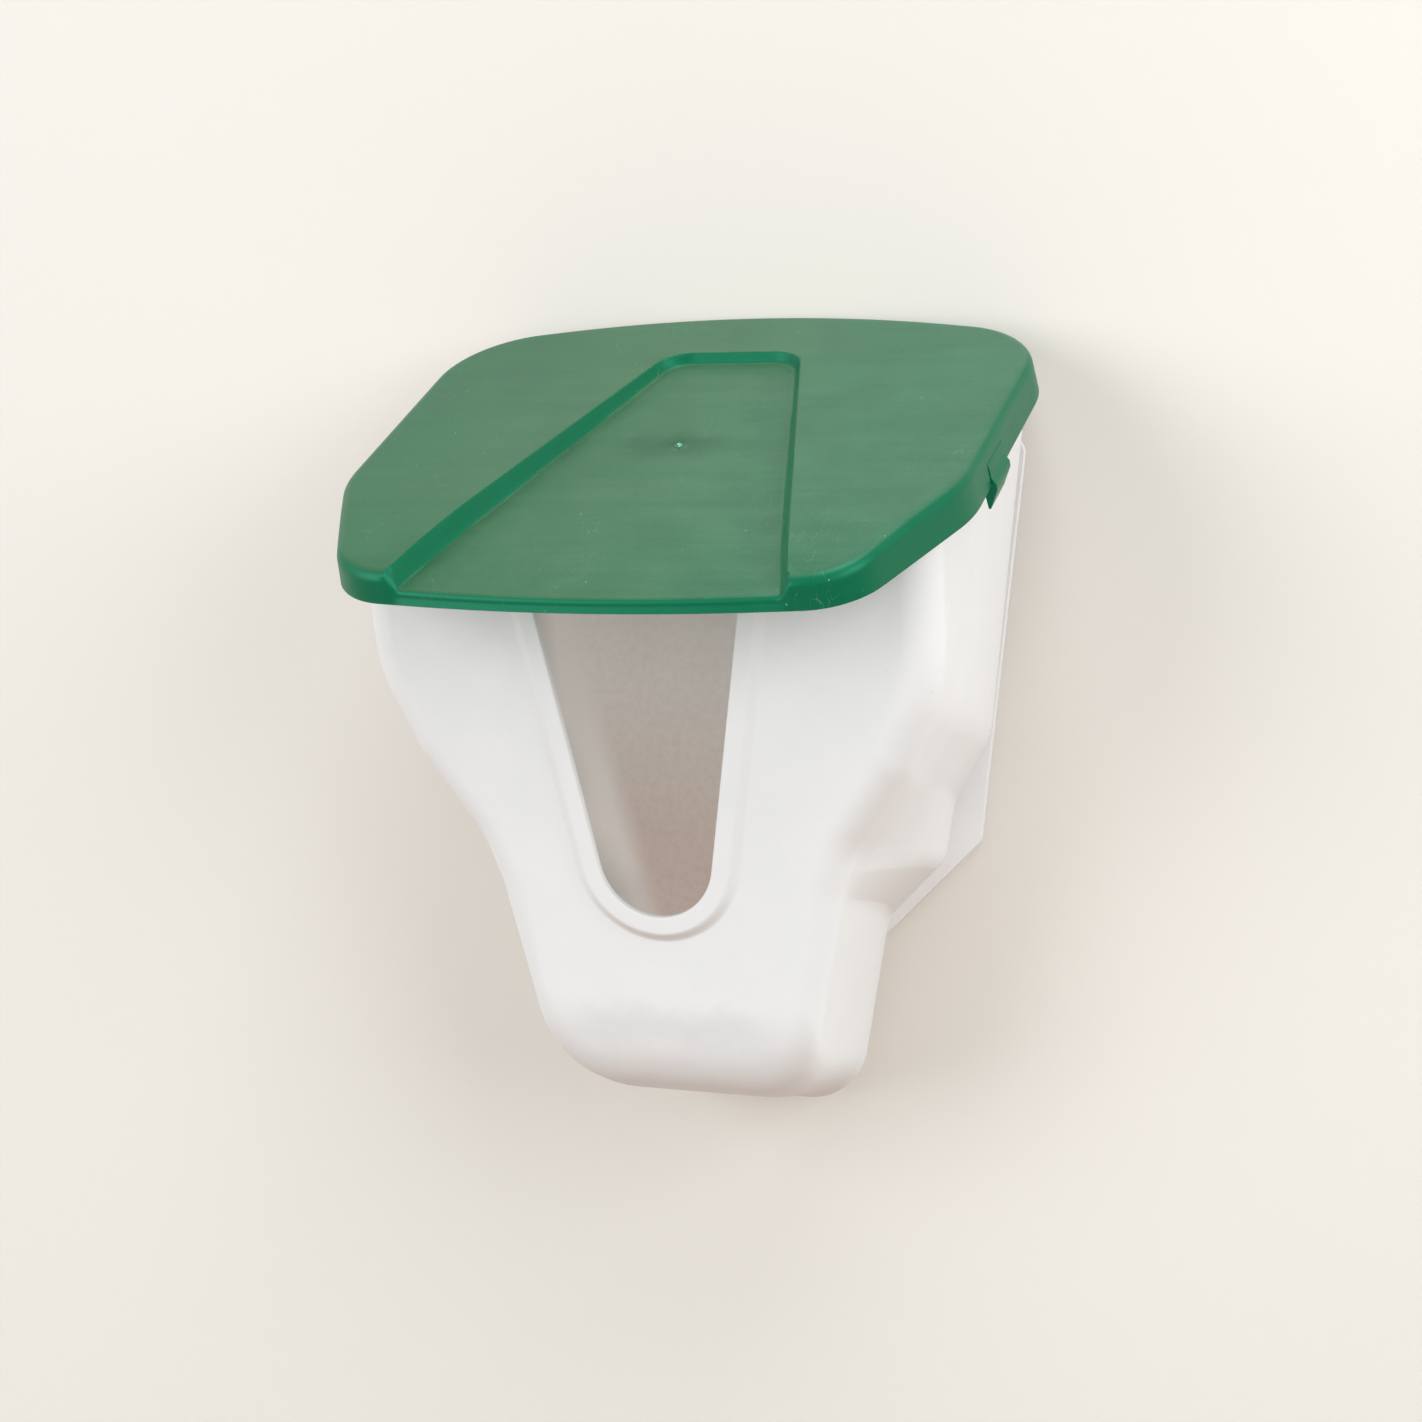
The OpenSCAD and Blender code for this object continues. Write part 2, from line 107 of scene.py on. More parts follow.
# both halves of an outline, from its right half
def mirrored(half):
    return half + [(-p[0], p[1]) for p in reversed(half) if abs(p[0]) > 0.001]


def makePiece(name, verts, faces):
    mesh = bpy.data.meshes.new(name)
    mesh.from_pydata([(v[0] * mm, v[1] * mm, v[2] * mm) for v in verts], [], faces)
    mesh.validate()
    piece = bpy.data.objects.new(name, mesh)
    bpy.context.scene.collection.objects.link(piece)
    work = bmesh.new()
    work.from_mesh(mesh)
    bmesh.ops.recalc_face_normals(work, faces=work.faces)
    work.to_mesh(mesh)
    work.free()
    return piece


# closed skin over rings of equal length
def skinPiece(name, rings):
    count = len(rings[0])
    verts = [p for ring in rings for p in ring]
    faces = []
    for k in range(len(rings) - 1):
        for i in range(count):
            a, b = k * count + i, k * count + (i + 1) % count
            faces.append((a, b, b + count, a + count))
    faces.append(tuple(range(count)))
    faces.append(tuple(range(len(verts) - 1, len(verts) - 1 - count, -1)))
    return makePiece(name, verts, faces)


def slabPiece(name, outline, low, high, place):
    return skinPiece(name, [[place(p[0], p[1], z) for p in outline] for z in (low, high)])


def boxPiece(name, low, high, place=lambda x, y, z: (x, y, z)):
    outline = [(low[0], low[1]), (high[0], low[1]), (high[0], high[1]), (low[0], high[1])]
    return slabPiece(name, outline, low[2], high[2], place)


def applyModifiers(piece):
    graph = bpy.context.evaluated_depsgraph_get()
    mesh = bpy.data.meshes.new_from_object(piece.evaluated_get(graph))
    piece.modifiers.clear()
    old = piece.data
    piece.data = mesh
    bpy.data.meshes.remove(old)


def combine(piece, tool, operation):
    change = piece.modifiers.new("change", "BOOLEAN")
    change.solver = "EXACT"
    change.operation = operation
    change.object = tool
    applyModifiers(piece)
    oldMesh = tool.data
    bpy.data.objects.remove(tool)
    bpy.data.meshes.remove(oldMesh)


# smooth faces with creases at sharp turns, shaded by the size of the faces
def finishSurface(piece):
    mesh = piece.data
    mesh.polygons.foreach_set("use_smooth", [True] * len(mesh.polygons))
    mesh.set_sharp_from_angle(angle=math.radians(32))
    weights = piece.modifiers.new("weights", "WEIGHTED_NORMAL")
    weights.keep_sharp = True
    weights.weight = 60
    applyModifiers(piece)


print("stage: helpers ready")

# the lid's outline and skirt as in the construction, with softer edges, a steeper panel wall
# and a thinner nose, in millimetres
lid = dict(
    slope=28.0, backZ=75.0, backGap=5.0, halfW=112.5, front=187.5, sideEnd=123.5, noseIn=23.5,
    back=5.0, backBow=330.0, cornerR=38.0, sideR=43.0, noseR=26.0, frontBow=650.0,
    wall=2.2, skirt=14.0, edgeR=4.0, sunkEdge=0.5, draft=0.8, gap=0.3, wallGap=0.3,
    footR=0.4, insideEdgeR=0.8, insideGrow=1.2,
    panelBack=27.0, panelHalfW=24.9, panelLean=16.1, panelR=13.0, backDepth=3.5, frontDepth=7.5,
    sideRun=0.5, panelStep=0.25, softTop=0.8, softFloor=1.3,
    noseFrom=137.0, noseDrop=3.9, floorDrop=2.2,
    latchMiddle=93.0, latchW=17.4, latchSlit=0.2, latchRoot=6.2,
    gateY=-89.0, gateR=1.2, gateH=0.95, dishR=4.8, dishH=0.35, spacing=1.9, grid=4.5, fineSpacing=1.7,
    fineLines=[-2.4, -1.5, -0.9, -0.5, -0.2, 0.1, 0.4, 0.7, 1.0, 1.4, 1.9, 2.5, 3.1, 3.7, 4.3, 4.9,
               5.5, 6.1, 6.8, 7.6, 8.6],
    coarseLines=[-3.5, -2.0, -1.2, -0.5, 0.3, 1.2, 2.4, 3.6, 4.8, 6.2],
)
lidTurn = math.radians(lid["slope"])
panelTurn = math.radians(lid["panelLean"])
panelSlope = (lid["frontDepth"] - lid["backDepth"]) / (lid["front"] - lid["panelBack"])


# a point of the lid's own frame in the feeder's frame
def inLid(x, y, z):
    return (
        x,
        -lid["backGap"] + y * math.cos(lidTurn) - z * math.sin(lidTurn),
        lid["backZ"] + y * math.sin(lidTurn) + z * math.cos(lidTurn),
    )


# point of a wide arc that bows outwards to a crown
def bowPoint(r, angle, crown):
    return (r * math.sin(angle), crown - r * (1 - math.cos(angle)))


def lidHalf():
    noseW = lid["halfW"] - lid["noseIn"]
    backTurn = math.asin((lid["halfW"] - lid["cornerR"]) / lid["backBow"])
    frontTurn = math.asin((noseW - lid["noseR"]) / lid["frontBow"])
    backEnd = bowPoint(lid["backBow"], backTurn, lid["back"])
    x, y = bowPoint(lid["frontBow"], frontTurn, lid["front"])
    frontEnd = (x, -y)
    corner = (lid["halfW"], backEnd[1] - (lid["halfW"] - backEnd[0]) * math.tan(backTurn))
    sideEnd = (lid["halfW"], -lid["sideEnd"])
    nose = (noseW, frontEnd[1] + (noseW - frontEnd[0]) * math.tan(frontTurn))
    half = [bowPoint(lid["backBow"], backTurn * i / 20, lid["back"]) for i in range(21)]
    half += roundCorner(backEnd, corner, sideEnd, lid["cornerR"], 30)
    half += roundCorner(corner, sideEnd, nose, lid["sideR"], 16)
    half += roundCorner(sideEnd, nose, frontEnd, lid["noseR"], 20)
    for i in range(15, -1, -1):
        x, y = bowPoint(lid["frontBow"], frontTurn * i / 16, lid["front"])
        half.append((x, -y))
    return half


lidHalfLine = evenly(lidHalf(), lid["spacing"])
lidHalfLine[0] = (0.0, lidHalfLine[0][1])
lidHalfLine[-1] = (0.0, lidHalfLine[-1][1])
lidLine = mirrored(lidHalfLine)


# distance inside the sunk panel's upper edge
def insidePanel(x, y, grow=0.0):
    x = abs(x)
    r = lid["panelR"] + grow
    sin, cos = math.sin(panelTurn), math.cos(panelTurn)
    backIn = -lid["panelBack"] + grow - y
    sideIn = (lid["panelHalfW"] + (-lid["panelBack"] - y) * sin / cos - x) * cos + grow
    # centre of the rounded back corner
    cy = -lid["panelBack"] + grow - r
    cx = lid["panelHalfW"] + (-lid["panelBack"] - cy) * sin / cos - (r - grow) / cos
    vx, vy = x - cx, y - cy
    if vx > 0 and vy * cos - vx * sin > 0:
        return r - math.hypot(vx, vy)
    return min(backIn, sideIn)


# the higher of two heights, with a fillet of width k
def softMax(a, b, k):
    h = max(k - abs(a - b), 0.0) / k
    return max(a, b) + h * h * k / 4


def softMin(a, b, k):
    return -softMax(-a, -b, k)


# heights of the flat top and of the panel's floor, which both bend down a little at the nose
def levels(y):
    bend = max(0.0, (-y - lid["noseFrom"]) / (lid["front"] - lid["noseFrom"])) ** 2
    floor = -(lid["backDepth"] + panelSlope * (-y - lid["panelBack"]))
    return -lid["noseDrop"] * bend, floor - lid["floorDrop"] * bend


# height of the lid's top, with the sunk panel and the mark of the moulding gate in it
def topHeight(x, y, grow=0.0):
    top, floor = levels(y)
    wall = top - insidePanel(x, y, grow) / lid["sideRun"]
    height = softMin(top, softMax(floor, wall, lid["softFloor"]), lid["softTop"])
    gate = math.hypot(x, y - lid["gateY"])
    if grow == 0.0 and gate < lid["dishR"]:
        height -= lid["dishH"] * (1 - ease(gate / lid["dishR"]))
        height += lid["gateH"] * (1 - ease((gate - 0.4 * lid["gateR"]) / lid["gateR"]))
    return height


# 0 on the flat top and 1 on the panel's floor
def lidShare(x, y, grow):
    top, floor = levels(y)
    return min(1.0, max(0.0, (topHeight(x, y, grow) - top) / (floor - top)))


# rings from the skirt's foot to the flat top, for the outside or the inside
def lidRings(distance, grow):
    rings = []
    footR = lid["footR"] * (1 if distance == 0 else -1)
    for footInset, z in ((footR, 0.0), (footR * 0.3, abs(footR) * 0.3), (0.0, abs(footR))):
        rings.append([(p[0], p[1], z - lid["skirt"]) for p in inset(lidLine, distance + footInset)])
    shares = [lidShare(p[0], p[1], grow) for p in inset(lidLine, distance + lid["draft"] + lid["edgeR"])]
    drafts = [lid["draft"] + lid["panelStep"] * s for s in shares]
    radii = [lid["edgeR"] * (1 - (1 - lid["sunkEdge"]) * s) for s in shares]
    if distance > 0:
        radii = [max(lid["insideEdgeR"], r - 0.6 * lid["wall"]) for r in radii]
    low = [topHeight(p[0], p[1], grow) - distance - r
           for p, r in zip(inset(lidLine, [distance + d for d in drafts]), radii)]
    foot = abs(footR) - lid["skirt"]
    for t in (0.25, 0.5, 0.75):
        line = inset(lidLine, [distance + t * d for d in drafts])
        rings.append([(p[0], p[1], foot + (z - foot) * t) for p, z in zip(line, low)])
    for i in range(9):
        angle = math.pi / 2 * i / 8
        moved = [distance + d + r * (1 - math.cos(angle)) for d, r in zip(drafts, radii)]
        ring = []
        for p, r in zip(inset(lidLine, moved), radii):
            ring.append((p[0], p[1], topHeight(p[0], p[1], grow) - distance - r * (1 - math.sin(angle))))
        rings.append(ring)
    return rings


# how far each point lies inside an outline
def distanceInside(points, outline):
    pts = np.array(points)
    a = np.array(outline)
    b = np.roll(a, -1, axis=0)
    best = np.full(len(pts), 1e9)
    inside = np.zeros(len(pts), bool)
    for p, q in zip(a, b):
        d = q - p
        t = np.clip(((pts - p) @ d) / (d @ d), 0, 1)
        best = np.minimum(best, np.hypot(*(pts - p - t[:, None] * d).T))
        crosses = (p[1] > pts[:, 1]) != (q[1] > pts[:, 1])
        if crosses.any():
            at = p[0] + (pts[:, 1] - p[1]) / (q[1] - p[1] if q[1] != p[1] else 1e-9) * d[0]
            inside ^= crosses & (pts[:, 0] < at)
    return np.where(inside, best, -best)


# right half of the panel's edge, moved inwards
def panelHalf(offset):
    r = lid["panelR"] - offset
    sin, cos = math.sin(panelTurn), math.cos(panelTurn)
    backY = -lid["panelBack"] - offset
    backX = lid["panelHalfW"] - offset / cos + offset * sin / cos
    far = lid["front"] + 12
    farX = backX + (far + backY) * sin / cos
    start, corner, end = (0.0, backY), (backX, backY), (farX, -far)
    return [start] + roundCorner(start, corner, end, max(1.0, r), 14) + [end]


# flat face of the lid inside a ring, with points that follow the sunk panel's edges
def topFace(ring, offsets, grow, drop):
    outline = [(p[0], p[1]) for p in ring]
    wanted = []
    for offset in offsets:
        wanted += mirrored(evenly(panelHalf(offset), lid["fineSpacing"]))
    for k in range(1, 13):
        r = lid["dishR"] * (0.55 * (k / 12) + 0.45 * (k / 12) ** 2)
        for a in [math.pi * i / 12 for i in range(24)]:
            wanted.append((r * math.cos(a), lid["gateY"] + r * math.sin(a)))
    fineCount = len(wanted)
    step = lid["grid"]
    for j in range(-2, int(200 / step) + 1):
        for i in range(-26, 27):
            wanted.append(((i + (0.5 if j % 2 else 0)) * step, -j * step * 0.87))
    inner = distanceInside(wanted, outline)
    keep = []
    for k, (p, d) in enumerate(zip(wanted, inner)):
        if d < 0.9:
            continue
        if k >= fineCount and -lid["grid"] < insidePanel(p[0], p[1]) < offsets[-1] + 1.2:
            continue
        if k >= fineCount and math.hypot(p[0], p[1] - lid["gateY"]) < lid["dishR"] + 1:
            continue
        keep.append(p)
    points = outline + keep
    verts, _, faces, _, _, _ = delaunay_2d_cdt(
        [Vector(p) for p in points], [], [list(range(len(outline)))], 1, 1e-5)
    assert len(verts) == len(points)
    heights = [p[2] for p in ring] + [topHeight(v.x, v.y, grow) - drop for v in verts[len(outline):]]
    return [(v.x, v.y, z) for v, z in zip(verts, heights)], faces


def buildLid():
    outer = lidRings(0.0, 0.0)
    inner = lidRings(lid["wall"], lid["insideGrow"])
    count = len(lidLine)
    verts, faces = [], []

    def addRings(rings):
        start = len(verts)
        for ring in rings:
            verts.extend(ring)
        for k in range(len(rings) - 1):
            for i in range(count):
                a, b = start + k * count + i, start + k * count + (i + 1) % count
                faces.append((a, b, b + count, a + count))
        return start, start + (len(rings) - 1) * count

    def addTop(ring, first, offsets, grow, drop):
        points, tris = topFace(ring, offsets, grow, drop)
        extra = len(verts)
        verts.extend(points[count:])
        for tri in tris:
            faces.append(tuple(first + i if i < count else extra + i - count for i in tri))

    outerFoot, outerTop = addRings(outer)
    addTop(outer[-1], outerTop, lid["fineLines"], 0.0, 0.0)
    innerFoot, innerTop = addRings(inner)
    addTop(inner[-1], innerTop, lid["coarseLines"], lid["insideGrow"], lid["wall"])
    for i in range(count):
        j = (i + 1) % count
        faces.append((outerFoot + i, outerFoot + j, innerFoot + j, innerFoot + i))
    piece = makePiece("lidShell", [inLid(*v) for v in verts], faces)
    # notches for the latches, and a flat back beside the wall
    notchHalf = (lid["latchW"] + 2 * lid["latchSlit"]) / 2
    for side in (-1, 1):
        x = side * lid["halfW"]
        low = (x - 2 * lid["wall"], -lid["latchMiddle"] - notchHalf, -lid["skirt"] - 1)
        high = (x + 2 * lid["wall"], -lid["latchMiddle"] + notchHalf, -lid["latchRoot"])
        combine(piece, boxPiece("notch", low, high, inLid), "DIFFERENCE")
    combine(piece, boxPiece("wallSide", (-200, -lid["wallGap"], -200), (200, 200, 200)), "DIFFERENCE")
    return piece


lidPiece = buildLid()
print("stage: lid built,", len(lidPiece.data.polygons), "faces")

# the tub's outlines, wall and rim, as in the construction, in millimetres
tub = dict(
    rimW=105.6, topZ=95.0, flare=1.0, frontDepth=124.0, frontLean=11.4, floorShare=0.45, toeDepth=30.0,
    frontR=12.0, backR=12.0, wall=2.2,
    frontCorners=[(102.3, -49), (87.5, -79), (67.5, -107), (61.5, -124), (55.0, -179), (0, -179)],
    frontRadii=[60, 40, 40, 40, 30],
    backCorners=[(90.0, -73), (77.0, -97), (73.5, -118), (52.5, -140), (41.5, -207), (0, -207)],
    backRadii=[26, 14, 14, 14, 22],
    footZ=-207.0, arcSteps=12, segment=6.0, sideShares=(0.22, 0.82),
    lipGap=1.0, rimT=2.0, lipH=11.0, flange=6.0,
    plateT=3.0, plateLine=[(0, 55), (50, 55), (99.5, 30), (84, -112), (38, -158), (0, -158)], plateR=6.0,
    mouthR=20.8, mouthDrop=132.6, mouthLean=10.2, beadW=9.5, beadH=2.5, beadSlope=4.4, beadEdgeR=0.7,
    holeSpacing=100.0, holeR=2.5,
)
frontTurn = math.radians(tub["frontLean"])
mouthTurn = math.radians(tub["mouthLean"])
frontSlope = math.tan(frontTurn)
footDepth = tub["frontDepth"] + frontSlope * tub["footZ"]
rimDepth = lid["wall"] + lid["gap"]
lipInset = lid["wall"] + tub["lipGap"]
# where the tub's front meets the lid's plane
rimFront = tub["frontDepth"] + frontSlope * lid["backZ"] - lid["backGap"]
rimFront /= math.cos(lidTurn) + frontSlope * math.sin(lidTurn)


# a point of the leaning front's own frame in the feeder's frame
def onFront(x, y, z):
    angle = math.pi / 2 + frontTurn
    return (
        x,
        -tub["frontDepth"] + y * math.cos(angle) - z * math.sin(angle),
        y * math.sin(angle) + z * math.cos(angle),
    )


# right half of an outline of the tub, from the top down to the middle of the floor
def halfCorners(corners, radii):
    start = (tub["rimW"] + tub["flare"], tub["topZ"])
    line = [start]
    path = [start] + corners
    for i, r in enumerate(radii):
        line += roundCorner(path[i], path[i + 1], path[i + 2], r, tub["arcSteps"])
    return line


frontHalf = halfCorners(tub["frontCorners"], tub["frontRadii"])
backHalf = halfCorners(tub["backCorners"], tub["backRadii"])
footCount = tub["arcSteps"] + 1
# pieces into which each long step of the half outline is cut
splits = [max(1, round(max(math.dist(a, b), math.dist(c, d)) / tub["segment"]))
          for a, b, c, d in zip(frontHalf, frontHalf[1:], backHalf, backHalf[1:])]


# outline between the back's and the front's, blended separately for the sides and for the floor
def tubOutline(sideTurn, floorTurn):
    keys = []
    for i, (b, f) in enumerate(zip(backHalf, frontHalf)):
        keys.append(mix(b, f, sideTurn if i < len(backHalf) - footCount else floorTurn))
    half = []
    for i, parts in enumerate(splits):
        half += [mix(keys[i], keys[i + 1], k / parts) for k in range(parts)]
    floor = keys[-1]
    half += [floor, (floor[0] * 0.66, floor[1]), (floor[0] * 0.33, floor[1])]
    return mirrored(half)


# how far the floor has risen towards the front's
def toeBlend(behind):
    u = max(0.0, 1 - behind / tub["toeDepth"])
    share = tub["floorShare"]
    return share * (1 - behind / footDepth) + (1 - share) * (1 - math.sqrt(1 - u * u))


def tubRing(share, sideTurn, shift, distance, floorTurn):
    ring = []
    for x, z in inset(tubOutline(sideTurn, floorTurn), distance):
        ring.append((x, -share * (tub["frontDepth"] + frontSlope * z) + shift, z))
    return ring


# rings from the back's edge to the front's, for the outside or the inside
def tubRings(distance):
    back = max(1.0, tub["backR"] - distance)
    front = max(1.0, tub["frontR"] - distance)
    backWall = tub["plateT"] if distance > 0 else 0.0
    rings = []
    for i in range(8, -1, -1):
        angle = math.pi / 2 * i / 8
        shift = -backWall - back * (1 - math.sin(angle))
        rings.append(tubRing(0, 0, shift, distance + back * (1 - math.cos(angle)), 0))
    first, last = tub["sideShares"]
    for i in range(15):
        share = first + (last - first) * i / 14
        # near the back the sides keep closer to its outline
        sideTurn = share if share > 0.3 else 0.3 * (share - 0.12) / 0.18
        rings.append(tubRing(share, sideTurn, 0, distance, toeBlend((1 - share) * footDepth)))
    for i in range(11):
        angle = math.pi / 2 * i / 10
        behind = front * (1 - math.sin(angle))
        moved = distance + front * (1 - math.cos(angle))
        rings.append(tubRing(1, 1, distance + behind, moved, toeBlend(behind)))
    return rings


# rounded form with the lid's outline, inset by a distance, its top lowered by a drop
def domePiece(name, distance, drop, foot):
    rings = [[inLid(p[0], p[1], -foot) for p in inset(lidLine, distance)]]
    for i in range(7):
        angle = math.pi / 2 * i / 6
        ring = inset(lidLine, distance + lid["draft"] + lid["edgeR"] * (1 - math.cos(angle)))
        rings.append([inLid(p[0], p[1], -drop - lid["edgeR"] * (1 - math.sin(angle))) for p in ring])
    return skinPiece(name, rings)


# outline of the opening, grown by a margin, in the front's own frame
def mouthLine(margin):
    r = tub["mouthR"] + margin
    centre = -tub["mouthDrop"] + tub["mouthR"]
    footX, footY = r * math.cos(mouthTurn), centre - r * math.sin(mouthTurn)
    topY = lid["backZ"]
    topX = footX + (topY - footY) * math.tan(mouthTurn)
    half = [mix((topX, topY), (footX, footY), i / 24) for i in range(24)]
    for i in range(25):
        a = -mouthTurn - (math.pi / 2 - mouthTurn) * i / 24
        half.append((r * math.cos(a), centre + r * math.sin(a)))
    half[-1] = (0.0, half[-1][1])
    return mirrored(half)


# swept bead round the opening, with a soft outer slope and a thin rounded inner edge
def beadPiece():
    w, h, slope, r = tub["beadW"], tub["beadH"], tub["beadSlope"], tub["beadEdgeR"]
    profile = [(w + 0.3, -1.2)]
    profile += [(w + 0.3 - slope * i / 10, h * ease(i / 10) * 0.97 - 0.02) for i in range(11)]
    top = w + 0.3 - slope
    for t in (0.35, 0.7, 1.0):
        profile.append((top + (r - top) * t, h * (0.97 + 0.03 * math.sin(math.pi / 2 * t)) - 0.02))
    for a in (0.4, 0.8, 1.2, math.pi / 2):
        profile.append((r * (1 - math.sin(a)), h - r * (1 - math.cos(a)) - 0.02))
    back = tub["beadH"] - tub["wall"]
    profile += [(0.0, back), (w - tub["wall"] - 0.5, back), (w - tub["wall"] + 0.4, -1.2)]
    loops = [mouthLine(m) for m, _ in profile]
    count = len(loops[0])
    verts, faces = [], []
    for i in range(count):
        for loop, (_, z) in zip(loops, profile):
            verts.append(onFront(loop[i][0], loop[i][1], z))
    size = len(profile)
    for i in range(count - 1):
        for k in range(size):
            a, b = i * size + k, i * size + (k + 1) % size
            faces.append((a, b, b + size, a + size))
    faces.append(tuple(range(size)))
    faces.append(tuple(range((count - 1) * size, count * size)))
    return makePiece("bead", verts, faces)


# thin plate on the wall
def platePiece():
    path = tub["plateLine"]
    half = [(0.0, float(path[0][1]))]
    for i in range(len(path) - 2):
        half += roundCorner(path[i], path[i + 1], path[i + 2], tub["plateR"], 8)
    half.append((0.0, float(path[-1][1])))
    return slabPiece("plate", mirrored(half), 0, tub["plateT"], lambda x, y, z: (x, -z, y))


# a thick ring above a height, with the hole that the tub's room keeps under the rim
def collarPiece(low, hole):
    outer = [(400 * x, 400 * y) for x, y in [Vector((p[0], p[1] + 90)).normalized()[:] for p in hole]]
    rings = [(outer, low), (hole, low), (hole, 300), (outer, 300)]
    verts = [inLid(p[0], p[1], z) for line, z in rings for p in line]
    count = len(hole)
    faces = []
    for k in range(4):
        for i in range(count):
            j = (i + 1) % count
            n = (k + 1) % 4
            faces.append((k * count + i, k * count + j, n * count + j, n * count + i))
    return makePiece("collar", verts, faces)


# everything above the lid's skirt and outside the rim
def roomPiece():
    foot = lid["skirt"] + lid["gap"]
    piece = boxPiece("room", (-300, -400, -foot), (300, 200, 300), inLid)
    combine(piece, domePiece("roomCore", lipInset, rimDepth, foot + 1), "DIFFERENCE")
    return piece


# rolled rim with a flange in front and a lip that hangs down
def rimPiece():
    reach = -rimFront - tub["flange"]
    piece = domePiece("rim", lipInset, rimDepth, rimDepth + tub["lipH"])
    combine(piece, boxPiece("rimCut", (-300, -500, -300), (300, reach, 300), inLid), "DIFFERENCE")
    inner = domePiece("rimHollow", lipInset + tub["rimT"], rimDepth + tub["rimT"], rimDepth + tub["lipH"] + 1)
    front = boxPiece("rimCut", (-300, -500, -300), (300, reach - tub["rimT"], 300), inLid)
    combine(inner, front, "DIFFERENCE")
    combine(piece, inner, "DIFFERENCE")
    combine(piece, boxPiece("house", (-300, -0.03, -300), (300, 300, 300)), "DIFFERENCE")
    return piece


# the room for the hay
def hollowPiece():
    piece = skinPiece("hollow", tubRings(tub["wall"]))
    hole = inset(lidLine, lipInset + lid["draft"] + tub["rimT"])
    combine(piece, collarPiece(-lid["skirt"] - lid["gap"] - tub["rimT"], hole), "DIFFERENCE")
    return piece


def buildTub():
    piece = skinPiece("tubShell", tubRings(0.0))
    combine(piece, platePiece(), "UNION")
    combine(piece, rimPiece(), "UNION")
    combine(piece, roomPiece(), "DIFFERENCE")
    combine(piece, hollowPiece(), "DIFFERENCE")
    mouth = slabPiece("mouth", mouthLine(0), -tub["frontR"], 2 * tub["flange"], onFront)
    combine(piece, mouth, "DIFFERENCE")
    line = mouthLine(tub["beadW"] - tub["wall"])
    recess = slabPiece("recess", line, -tub["wall"] - 1, tub["beadH"] - tub["wall"], onFront)
    combine(piece, recess, "DIFFERENCE")
    bead = beadPiece()
    combine(bead, roomPiece(), "DIFFERENCE")
    combine(piece, bead, "UNION")
    # room under the lid's sunk panel
    halfRoom = lid["panelHalfW"] + (rimFront - lid["panelBack"]) * math.tan(panelTurn) + tub["flange"]
    low = (-halfRoom, -rimFront - 2 * tub["flange"], -lid["frontDepth"] - rimDepth)
    high = (halfRoom, -rimFront + 2 * tub["flange"], 1)
    combine(piece, boxPiece("panelRoom", low, high, inLid), "DIFFERENCE")
    for side in (-1, 1):
        ring = [(side * tub["holeSpacing"] / 2 + tub["holeR"] * math.cos(a), tub["holeR"] * math.sin(a))
                for a in [2 * math.pi * i / 48 for i in range(48)]]
        hole = slabPiece("screwHole", ring, -1, tub["plateT"] + 1, lambda x, y, z: (x, -z, y))
        combine(piece, hole, "DIFFERENCE")
    return piece


tubPiece = buildTub()
print("stage: tub built,", len(tubPiece.data.polygons), "faces")

# the latches that snap under the rim's lip, in millimetres
latch = dict(
    t=1.9, tip=22.5, bulge=1.6, catchW=1.0, catchH=3.0, catchGap=0.3, neck=2.0, gripH=2.5, gripRise=1.0,
    tipT=0.8, tipLead=0.6, edge=0.3,
)


# the latch's outline, seen along the lid's side
def latchSection():
    rootY = -lid["latchRoot"] - lid["latchSlit"]
    gripY = -lid["skirt"] + latch["gripRise"]
    catchY = -rimDepth - tub["lipH"] - latch["catchGap"]
    lipX = lid["halfW"] - lipInset + latch["catchGap"]
    out = lid["halfW"] + latch["bulge"]
    return [
        (lid["halfW"] - latch["t"], rootY), (lid["halfW"] - lid["draft"] / 2, rootY),
        (lid["halfW"], rootY - latch["neck"]), (lid["halfW"] + 0.15, gripY + 1.8),
        (out, gripY - 0.4), (out, gripY - latch["gripH"]),
        (lipX + latch["tipLead"] + latch["tipT"], -latch["tip"]), (lipX + latch["tipLead"], -latch["tip"]),
        (lipX, catchY - latch["catchH"]), (lipX, catchY),
        (lipX + latch["catchW"], catchY + latch["catchW"]),
    ]


def buildLatch(name, side):
    section = latchSection()
    rings = []
    for y in (-lid["latchMiddle"] - lid["latchW"] / 2, -lid["latchMiddle"] + lid["latchW"] / 2):
        rings.append([inLid(side * x, y, z) for x, z in section])
    piece = skinPiece(name, rings)
    bevel = piece.modifiers.new("bevel", "BEVEL")
    bevel.width = latch["edge"] * mm
    bevel.segments = 3
    bevel.limit_method = "ANGLE"
    bevel.angle_limit = math.radians(20)
    applyModifiers(piece)
    return piece


latchPieces = {"latch_left": buildLatch("latchLeft", -1), "latch_right": buildLatch("latchRight", 1)}
print("stage: latches built")

# every piece stands for its solid and moves with it
for piece in [lidPiece, tubPiece] + list(latchPieces.values()):
    finishSurface(piece)
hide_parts("tub")
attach(tubPiece, "tub")
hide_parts("lid")
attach(lidPiece, "lid")
for node, piece in latchPieces.items():
    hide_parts(node)
    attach(piece, node)
print("stage: pieces placed")


# colour of 0 to 255 as linear light
def linear(rgb):
    shares = [c / 255 for c in rgb]
    return tuple((c / 12.92) if c <= 0.04045 else ((c + 0.055) / 1.055) ** 2.4 for c in shares)


# a node with its settings, and its inputs set or linked
def addNode(tree, kind, inputs=None, **settings):
    made = tree.nodes.new(kind)
    for key, value in settings.items():
        setattr(made, key, value)
    for key, value in (inputs or {}).items():
        if isinstance(value, bpy.types.NodeSocket):
            tree.links.new(value, made.inputs[key])
        else:
            made.inputs[key].default_value = value
    return made


